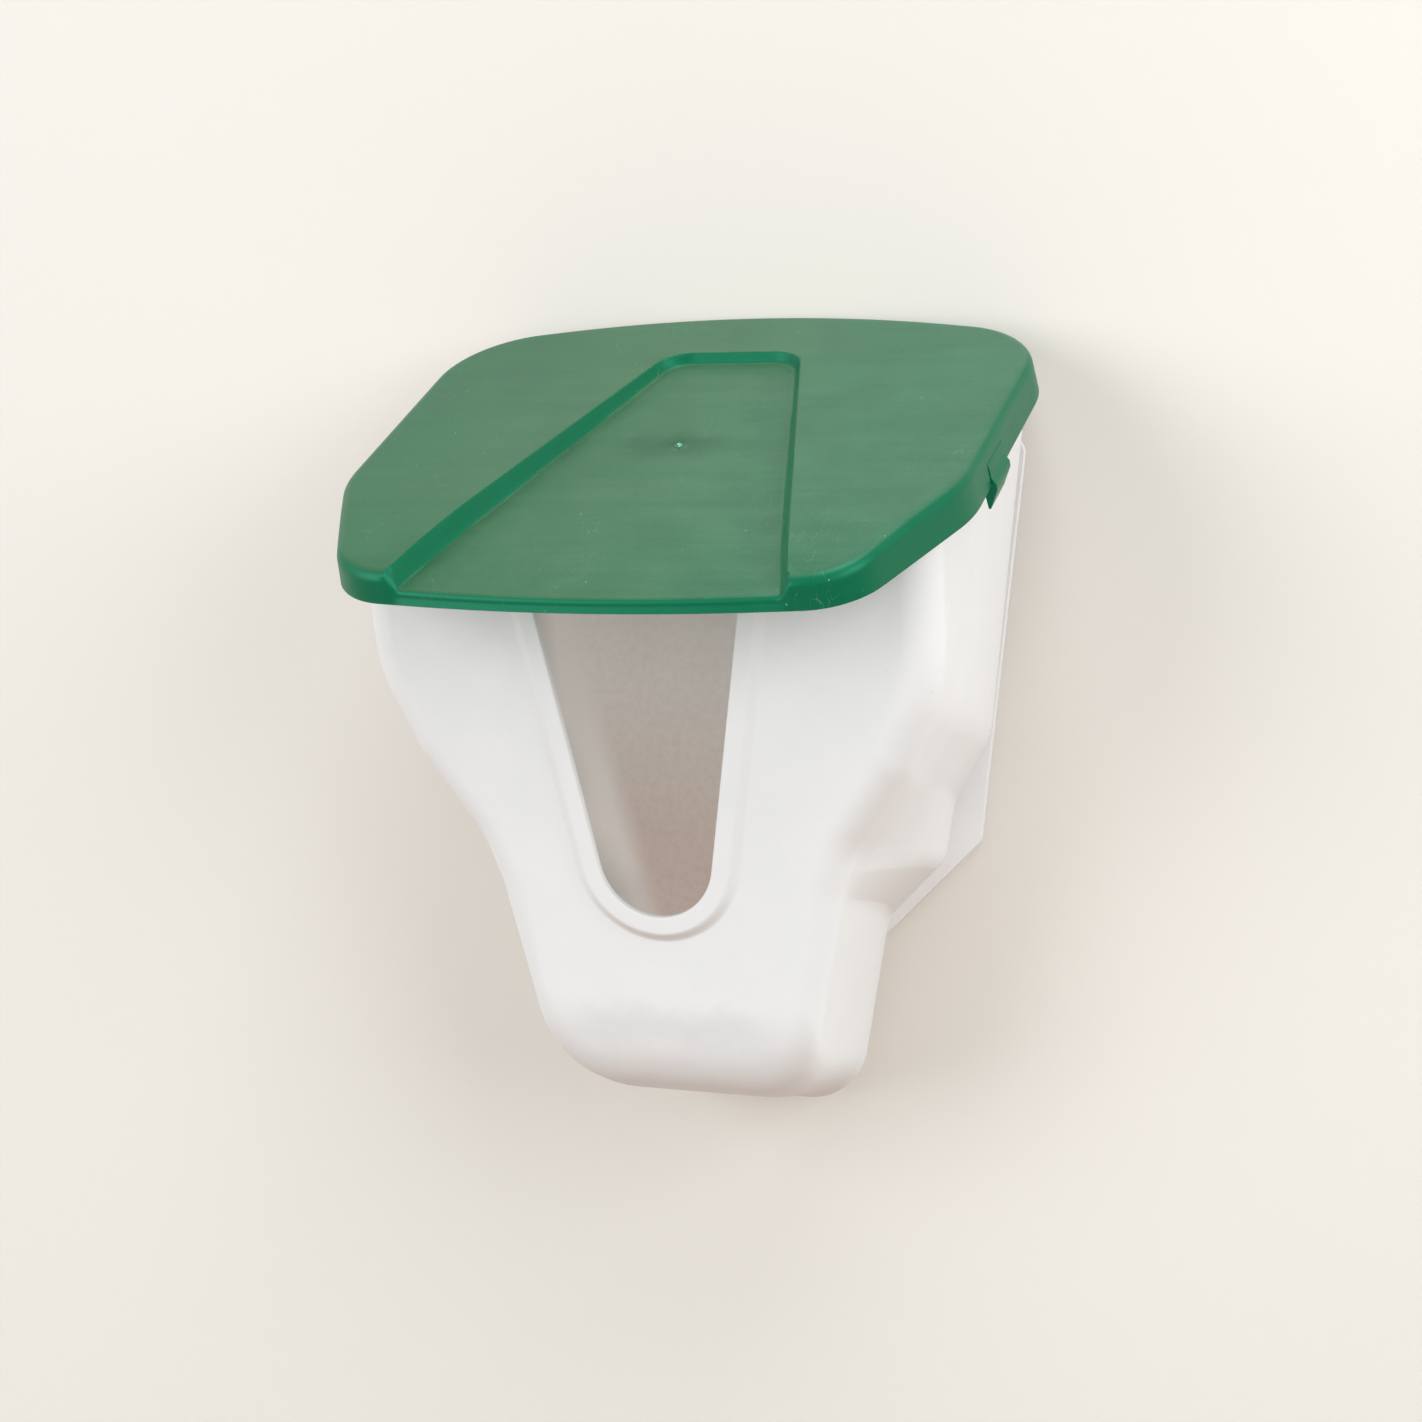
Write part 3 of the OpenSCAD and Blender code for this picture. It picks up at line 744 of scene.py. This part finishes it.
def newGroup(name, inputs, outputs):
    tree = bpy.data.node_groups.new(name, "ShaderNodeTree")
    for label, value in inputs:
        tree.interface.new_socket(label, in_out="INPUT", socket_type="NodeSocketFloat").default_value = value
    for label, kind in outputs:
        tree.interface.new_socket(label, in_out="OUTPUT", socket_type=kind)
    return tree, tree.nodes.new("NodeGroupInput"), tree.nodes.new("NodeGroupOutput")


# value taken smoothly from two limits to 0 and 1
def fromTo(tree, value, low, high):
    return addNode(tree, "ShaderNodeMapRange", {"Value": value, "From Min": low, "From Max": high},
                   interpolation_type="SMOOTHSTEP").outputs["Result"]


# value taken evenly from two limits to two others
def rescale(tree, value, low, high, first, last):
    return addNode(tree, "ShaderNodeMapRange", {
        "Value": value, "From Min": low, "From Max": high, "To Min": first, "To Max": last}).outputs["Result"]


def calculate(tree, operation, a, b=0.0):
    return addNode(tree, "ShaderNodeMath", {0: a, 1: b}, operation=operation).outputs[0]


def times(tree, a, b):
    return calculate(tree, "MULTIPLY", a, b)


def plus(tree, a, b):
    return calculate(tree, "ADD", a, b)


def minus(tree, a, b):
    return calculate(tree, "SUBTRACT", a, b)


def vectorMath(tree, operation, a, b=(0, 0, 0)):
    return addNode(tree, "ShaderNodeVectorMath", {0: a, 1: b}, operation=operation).outputs


def noise(tree, place, scale, detail, roughness=0.5):
    return addNode(tree, "ShaderNodeTexNoise", {
        "Vector": place, "Scale": scale, "Detail": detail, "Roughness": roughness}).outputs["Fac"]


# grain of the mould and slight waves of the moulded walls
def makeSkinGroup():
    tree, inside, outside = newGroup(
        "mouldedSkin", [("Grain Scale", 1500.0), ("Grain Height", 0.00001), ("Wave Height", 0.0001)],
        [("Normal", "NodeSocketVector"), ("Grain", "NodeSocketFloat")])
    place = addNode(tree, "ShaderNodeTexCoord").outputs["Object"]
    grain = noise(tree, place, inside.outputs["Grain Scale"], 2.0, 0.6)
    wave = noise(tree, place, 16.0, 1.0, 0.4)
    low = addNode(tree, "ShaderNodeBump", {
        "Height": wave, "Distance": inside.outputs["Wave Height"], "Strength": 1.0})
    high = addNode(tree, "ShaderNodeBump", {
        "Height": grain, "Distance": inside.outputs["Grain Height"], "Strength": 1.0,
        "Normal": low.outputs["Normal"]})
    tree.links.new(high.outputs["Normal"], outside.inputs["Normal"])
    tree.links.new(grain, outside.inputs["Grain"])
    return tree


# dust specks, hairline scratches and the cloudy wear of handling
def makeWearGroup():
    tree, inside, outside = newGroup(
        "handlingWear", [("Speck Scale", 260.0), ("Speck Size", 0.07)],
        [("Specks", "NodeSocketFloat"), ("Scratches", "NodeSocketFloat"), ("Clouds", "NodeSocketFloat")])
    place = addNode(tree, "ShaderNodeTexCoord").outputs["Object"]
    # one cell in four or so holds a speck
    cells = addNode(tree, "ShaderNodeTexVoronoi", {"Vector": place, "Scale": inside.outputs["Speck Scale"]})
    pick = addNode(tree, "ShaderNodeSeparateColor", {"Color": cells.outputs["Color"]})
    size = times(tree, pick.outputs["Green"], inside.outputs["Speck Size"])
    near = calculate(tree, "LESS_THAN", cells.outputs["Distance"], size)
    chosen = calculate(tree, "GREATER_THAN", pick.outputs["Red"], 0.72)
    tree.links.new(times(tree, near, chosen), outside.inputs["Specks"])
    # scratches are level lines of a stretched noise, kept in patches
    stretched = addNode(tree, "ShaderNodeMapping", {
        "Vector": place, "Rotation": (0.3, 0.2, 0.55), "Scale": (260.0, 14.0, 120.0)})
    threads = noise(tree, stretched.outputs["Vector"], 1.0, 1.0)
    away = calculate(tree, "ABSOLUTE", minus(tree, threads, 0.5))
    line = calculate(tree, "LESS_THAN", away, 0.004)
    patch = fromTo(tree, noise(tree, place, 45.0, 1.0), 0.55, 0.68)
    tree.links.new(times(tree, line, patch), outside.inputs["Scratches"])
    clouds = fromTo(tree, noise(tree, place, 38.0, 5.0, 0.62), 0.3, 0.7)
    tree.links.new(clouds, outside.inputs["Clouds"])
    return tree


skinGroup = makeSkinGroup()
wearGroup = makeWearGroup()


# both groups in a material, with its own values
def addGroups(tree, look):
    skin = addNode(tree, "ShaderNodeGroup", node_tree=skinGroup)
    skin.inputs["Grain Scale"].default_value = look["grainScale"]
    skin.inputs["Grain Height"].default_value = look["grainHeight"]
    skin.inputs["Wave Height"].default_value = look["waveHeight"]
    wear = addNode(tree, "ShaderNodeGroup", node_tree=wearGroup)
    wear.inputs["Speck Scale"].default_value = look["speckScale"]
    wear.inputs["Speck Size"].default_value = look["speckSize"]
    return skin.outputs, wear.outputs


def newMaterial(name):
    material = bpy.data.materials.new(name)
    material.use_nodes = True
    tree = material.node_tree
    return material, tree, tree.nodes["Principled BSDF"]


def mixColour(tree, factor, a, b):
    made = addNode(tree, "ShaderNodeMix", data_type="RGBA", blend_type="MIX", clamp_factor=True)
    for key, value in ((0, factor), (6, a), (7, b)):
        if isinstance(value, bpy.types.NodeSocket):
            tree.links.new(value, made.inputs[key])
        elif key == 0:
            made.inputs[key].default_value = value
        else:
            made.inputs[key].default_value = (*value, 1)
    return made.outputs[2]


# a part of a second colour laid over the first where a mask is 1
def layOver(tree, colour, mask, amount, rgb):
    return mixColour(tree, times(tree, mask, amount), colour, linear(rgb))


# looks of the lid and the latches: colours of 0 to 255, lengths in metres; two pale colours paint a sheen on
# the top, a bright green paints light on the edges, and the pale gate colour is partly a painted glint
lidLook = dict(
    colour=(2, 82, 48), cloud=(12, 98, 62), dark=(2, 66, 38), edge=(0, 100, 65), dust=(170, 190, 176),
    paintedSheen=(116, 136, 108), paintedSheenRight=(106, 141, 116), gateGlintColour=(150, 205, 180), tint=(0.2, 0.9, 0.65),
    cloudAmount=0.4, paintedSheenAmount=0.31, paintedEdgeLightAmount=0.7, blushAmount=0.55, scratchAmount=0.14, speckAmount=0.5,
    roughness=0.37, cloudRough=0.07, blushRough=0.06, gateRough=0.26, shine=0.62,
    grainScale=1500.0, grainHeight=0.000024, waveHeight=0.00012, speckScale=230.0, speckSize=0.075,
    blushLength=0.030, blushWidth=0.013, blushSwirl=0.9, gateZ=-5.0, facing=(0, -0.4695, 0.8829),
)


def makeGreen():
    material, tree, shader = newMaterial("lidPlastic")
    skin, wear = addGroups(tree, lidLook)
    place = addNode(tree, "ShaderNodeTexCoord").outputs["Object"]
    # cloudy flow of the melt round the gate
    gate = inLid(0, lid["gateY"], lidLook["gateZ"])
    fromGate = vectorMath(tree, "ADD", place, tuple(-c * mm for c in gate))[0]
    long, wide = 1 / lidLook["blushLength"], 1 / lidLook["blushWidth"]
    squeezed = vectorMath(tree, "MULTIPLY", fromGate, (long, wide, wide))[0]
    reach = vectorMath(tree, "LENGTH", squeezed)["Value"]
    swirl = minus(tree, noise(tree, place, 90.0, 3.0), 0.5)
    reach = plus(tree, reach, times(tree, swirl, lidLook["blushSwirl"]))
    blush = minus(tree, 1.0, fromTo(tree, reach, 0.1, 1.0))
    clouds = wear["Clouds"]
    colour = layOver(tree, linear(lidLook["colour"]), clouds, lidLook["cloudAmount"], lidLook["cloud"])
    # painted sheen: a pale reflection laid on the top faces, fading towards the left as the light falls off
    acrossX = addNode(tree, "ShaderNodeSeparateXYZ", {"Vector": place}).outputs["X"]
    sheenFalloff = rescale(tree, acrossX, -0.13, 0.02, 0.42, 1.0)
    faceNormal = addNode(tree, "ShaderNodeTexCoord").outputs["Normal"]
    upward = vectorMath(tree, "DOT_PRODUCT", faceNormal, lidLook["facing"])["Value"]
    upward = fromTo(tree, upward, 0.72, 0.95)
    paintedSheen = times(tree, times(tree, sheenFalloff, upward), lidLook["paintedSheenAmount"])
    # streaks along the flow and fine grain break up the painted sheen
    drawn = addNode(tree, "ShaderNodeMapping", {"Vector": place, "Scale": (14.0, 130.0, 130.0)})
    streaks = noise(tree, drawn.outputs["Vector"], 1.0, 4.0, 0.65)
    for value, low, high in ((clouds, 0.86, 1.12), (streaks, 0.72, 1.28), (skin["Grain"], 0.72, 1.28)):
        paintedSheen = times(tree, paintedSheen, rescale(tree, value, 0.2, 0.8, low, high))
    # the painted sheen is greyer on the left and a bluer green on the right
    side = fromTo(tree, acrossX, -0.04, 0.08)
    paintedSheenColour = mixColour(tree, side, linear(lidLook["paintedSheen"]), linear(lidLook["paintedSheenRight"]))
    # painted light on the edges: faces that don't look up get a brighter, bluer green
    colour = layOver(tree, colour, minus(tree, 1.0, upward), lidLook["paintedEdgeLightAmount"], lidLook["edge"])
    colour = mixColour(tree, paintedSheen, colour, paintedSheenColour)
    colour = layOver(tree, colour, blush, lidLook["blushAmount"], lidLook["dark"])
    colour = layOver(tree, colour, wear["Scratches"], lidLook["scratchAmount"], lidLook["dust"])
    colour = layOver(tree, colour, wear["Specks"], lidLook["speckAmount"], lidLook["dust"])
    # the gate's broken-off nub is glossy, and its pale colour is partly a painted glint
    gateReach = vectorMath(tree, "LENGTH", fromGate)["Value"]
    tornGateAndGlint = times(tree, fromTo(tree, gateReach, 0.0016, 0.0008), fromTo(tree, skin["Grain"], 0.40, 0.55))
    colour = mixColour(tree, tornGateAndGlint, colour, linear(lidLook["gateGlintColour"]))
    tree.links.new(colour, shader.inputs["Base Color"])
    rough = plus(tree, times(tree, clouds, lidLook["cloudRough"]), lidLook["roughness"])
    rough = minus(tree, rough, times(tree, blush, lidLook["blushRough"]))
    gloss = times(tree, fromTo(tree, gateReach, 0.0030, 0.0018), lidLook["gateRough"])
    tree.links.new(minus(tree, rough, gloss), shader.inputs["Roughness"])
    tree.links.new(skin["Normal"], shader.inputs["Normal"])
    shader.inputs["Specular Tint"].default_value = (*lidLook["tint"], 1)
    shader.inputs["Specular IOR Level"].default_value = lidLook["shine"]
    return material


# looks of the tub: colours of 0 to 255, lengths in metres; the greyer colours for the underside and the
# crease paint shade, and the warm colour paints both mottle and shade deep inside
tubLook = dict(
    colour=(240, 240, 241), cool=(232, 233, 236), warm=(200, 180, 170), under=(204, 191, 186),
    creaseShadeColour=(205, 202, 203), speck=(168, 160, 150), coolAmount=0.35, spotAmount=0.12, depthShadeAmount=0.62,
    underShadeAmount=0.85, creaseShadeAmount=0.36, speckAmount=0.25, roughness=0.52, cloudRough=0.06, shine=0.25,
    grainScale=1100.0, grainHeight=0.000012, waveHeight=0.00022, speckScale=150.0, speckSize=0.05,
    creaseZ=-0.1695, creaseHalf=0.0105, creaseDrift=0.014, through=0.68, throughTint=(1.0, 0.955, 0.92),
)


def makeWhite():
    material, tree, shader = newMaterial("tubPlastic")
    skin, wear = addGroups(tree, tubLook)
    place = addNode(tree, "ShaderNodeTexCoord").outputs["Object"]
    parts = addNode(tree, "ShaderNodeSeparateXYZ", {"Vector": place}).outputs
    fromMiddle = calculate(tree, "ABSOLUTE", parts["X"])
    clouds = wear["Clouds"]
    colour = layOver(tree, linear(tubLook["colour"]), clouds, tubLook["coolAmount"], tubLook["cool"])
    # mottled inner face of the back wall, with painted shade that darkens it further down
    sideways = plus(tree, fromMiddle, times(tree, parts["Z"], -0.3))
    backFace = times(tree, fromTo(tree, parts["Y"], -0.012, -0.005), fromTo(tree, sideways, 0.092, 0.080))
    spots = fromTo(tree, noise(tree, place, 320.0, 5.0, 0.75), 0.40, 0.64)
    depthShade = fromTo(tree, parts["Z"], -0.04, -0.13)
    mottleAndShade = plus(tree, times(tree, spots, tubLook["spotAmount"]), times(tree, depthShade, tubLook["depthShadeAmount"]))
    colour = mixColour(tree, times(tree, mottleAndShade, backFace), colour, linear(tubLook["warm"]))
    # painted shade: faces that look down turn warmer and greyer
    faceNormal = addNode(tree, "ShaderNodeTexCoord").outputs["Normal"]
    downFacingShade = addNode(tree, "ShaderNodeSeparateXYZ", {"Vector": faceNormal}).outputs["Z"]
    downFacingShade = fromTo(tree, downFacingShade, -0.25, -0.95)
    colour = layOver(tree, colour, downFacingShade, tubLook["underShadeAmount"], tubLook["under"])
    # painted shade in a streak where the front turns under
    drift = minus(tree, noise(tree, place, 60.0, 5.0, 0.7), 0.5)
    level = plus(tree, parts["Z"], times(tree, drift, tubLook["creaseDrift"]))
    away = calculate(tree, "ABSOLUTE", minus(tree, level, tubLook["creaseZ"]))
    creaseShadeMask = minus(tree, 1.0, fromTo(tree, away, 0.0, tubLook["creaseHalf"]))
    creaseShadeMask = times(tree, creaseShadeMask, fromTo(tree, parts["Y"], -0.06, -0.075))
    creaseShadeMask = times(tree, creaseShadeMask, fromTo(tree, fromMiddle, 0.048, 0.022))
    colour = layOver(tree, colour, creaseShadeMask, tubLook["creaseShadeAmount"], tubLook["creaseShadeColour"])
    colour = layOver(tree, colour, wear["Specks"], tubLook["speckAmount"], tubLook["speck"])
    tree.links.new(colour, shader.inputs["Base Color"])
    rough = plus(tree, times(tree, clouds, tubLook["cloudRough"]), tubLook["roughness"])
    tree.links.new(rough, shader.inputs["Roughness"])
    tree.links.new(skin["Normal"], shader.inputs["Normal"])
    shader.inputs["Specular IOR Level"].default_value = tubLook["shine"]
    # light that the thin walls let through
    path = addNode(tree, "ShaderNodeLightPath")
    soft = calculate(tree, "MAXIMUM", path.outputs["Is Shadow Ray"], path.outputs["Is Diffuse Ray"])
    clear = addNode(tree, "ShaderNodeBsdfTransparent", {"Color": (*tubLook["throughTint"], 1)})
    both = addNode(tree, "ShaderNodeMixShader", {
        0: times(tree, soft, tubLook["through"]), 1: shader.outputs["BSDF"], 2: clear.outputs["BSDF"]})
    tree.links.new(both.outputs["Shader"], tree.nodes["Material Output"].inputs["Surface"])
    return material


white = makeWhite()
green = makeGreen()
for piece, paint in [(tubPiece, white), (lidPiece, green)] + [(p, green) for p in latchPieces.values()]:
    piece.data.materials.clear()
    piece.data.materials.append(paint)
for name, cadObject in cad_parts.items():
    cadObject.data.materials.clear()
    cadObject.data.materials.append(white if name == "tub" else green)
print("stage: materials made")

# backdrop, lamps and camera, in metres
stage = dict(
    wall=(233, 229, 223), floor=(233, 229, 223), floorZ=-1.3, floorFront=-4.0,
    wallY=0.0006, wallTop=2.4, wallHalfW=3.0, openingShare=0.9, openingDrop=-0.004,
    keyPlace=(1.45, -1.00, 0.42), keySize=(1.1, 1.1), keyWatts=14.8,
    topPlace=(0.35, -0.80, 1.50), topSize=(0.9, 0.9), topWatts=12.0,
    fillPlace=(-1.3, -1.6, 0.25), fillSize=(1.4, 1.4), fillWatts=18.5, lampAim=(0, -0.05, -0.03),
    worldLight=0.38, backgroundLight=0.86,
)


def stagePlane(name, corners, faces, colour):
    mesh = bpy.data.meshes.new(name)
    mesh.from_pydata(corners, [], faces)
    plane = bpy.data.objects.new(name, mesh)
    bpy.context.scene.collection.objects.link(plane)
    material, tree, shader = newMaterial(name + "Paint")
    cloud = noise(tree, addNode(tree, "ShaderNodeTexCoord").outputs["Object"], 3.0, 2.0)
    paint = layOver(tree, linear(colour), cloud, 0.3, [c - 4 for c in colour])
    tree.links.new(paint, shader.inputs["Base Color"])
    shader.inputs["Roughness"].default_value = 0.85
    # from behind the backdrop is clear, so that it never hides the feeder's back
    behind = addNode(tree, "ShaderNodeNewGeometry").outputs["Backfacing"]
    clear = addNode(tree, "ShaderNodeBsdfTransparent")
    both = addNode(tree, "ShaderNodeMixShader", {
        0: behind, 1: shader.outputs["BSDF"], 2: clear.outputs["BSDF"]})
    tree.links.new(both.outputs["Shader"], tree.nodes["Material Output"].inputs["Surface"])
    plane.data.materials.append(material)


# a wall with an opening behind the plate, where light reaches the feeder's back
def wallCorners():
    share = stage["openingShare"]
    edge = mirrored(evenly(tub["plateLine"], 12))
    around = [(x * share * mm, z * share * mm + stage["openingDrop"]) for x, z in edge]
    middle = sum(z for _, z in around) / len(around)
    outer = []
    for x, z in around:
        rise = z - middle
        room = stage["wallTop"] - middle if rise > 0 else middle - stage["floorZ"]
        reach = min(stage["wallHalfW"] / max(abs(x), 1e-6), room / max(abs(rise), 1e-6))
        outer.append((x * reach, stage["wallY"], middle + rise * reach))
    return [(x, stage["wallY"], z) for x, z in around] + outer


corners = wallCorners()
count = len(corners) // 2
stagePlane("backWall", corners, [
    (i, (i + 1) % count, count + (i + 1) % count, count + i) for i in range(count)], stage["wall"])
near, far = stage["floorFront"], stage["wallY"]
corners = [(side * stage["wallHalfW"], y, stage["floorZ"])
           for side, y in ((-1, near), (1, near), (1, far), (-1, far))]
stagePlane("paleFloor", corners, [(0, 1, 2, 3)], stage["floor"])


def softLamp(name, place, size, watts):
    data = bpy.data.lights.new(name, "AREA")
    data.shape = "RECTANGLE"
    data.size, data.size_y = size
    data.energy = watts
    lamp = bpy.data.objects.new(name, data)
    bpy.context.scene.collection.objects.link(lamp)
    lamp.location = place
    towards = Vector(stage["lampAim"]) - Vector(place)
    lamp.rotation_euler = towards.to_track_quat("-Z", "Y").to_euler()


softLamp("keySoftbox", stage["keyPlace"], stage["keySize"], stage["keyWatts"])
softLamp("topSoftbox", stage["topPlace"], stage["topSize"], stage["topWatts"])
softLamp("fillSoftbox", stage["fillPlace"], stage["fillSize"], stage["fillWatts"])
world = bpy.data.worlds.new("studioWorld")
world.use_nodes = True
worldTree = world.node_tree
background = worldTree.nodes["Background"]
background.inputs["Color"].default_value = (1, 1, 1, 1)
# the camera sees a pale backdrop, and the world lights the feeder at a plain level
path = addNode(worldTree, "ShaderNodeLightPath")
seen = path.outputs["Is Camera Ray"]
for ray in ("Is Glossy Ray", "Is Transmission Ray"):
    seen = calculate(worldTree, "MAXIMUM", seen, path.outputs[ray])
strength = rescale(worldTree, seen, 0.0, 1.0, stage["worldLight"], stage["backgroundLight"])
worldTree.links.new(strength, background.inputs["Strength"])
bpy.context.scene.world = world

# camera found from the photo: place, right and forward directions, focal length in pixels
view = dict(
    place=(0.3852, -1.0240, 0.0154), right=(0.92970, 0.36831, 0), forward=(-0.36725, 0.92705, -0.07557),
    focal=2985.7, photoSize=1422, sensor=36,
)
cameraData = bpy.data.cameras.new("photoCamera")
cameraData.sensor_width = view["sensor"]
cameraData.lens = view["sensor"] * view["focal"] / view["photoSize"]
cameraData.clip_start = 0.05
camera = bpy.data.objects.new("photoCamera", cameraData)
bpy.context.scene.collection.objects.link(camera)
right = Vector(view["right"]).normalized()
forward = Vector(view["forward"]).normalized()
up = right.cross(forward)
camera.matrix_world = Matrix((
    (right.x, up.x, -forward.x, view["place"][0]),
    (right.y, up.y, -forward.y, view["place"][1]),
    (right.z, up.z, -forward.z, view["place"][2]),
    (0, 0, 0, 1),
))
bpy.context.scene.camera = camera
bpy.context.scene.view_settings.view_transform = "Standard"
print("stage: light and camera set")
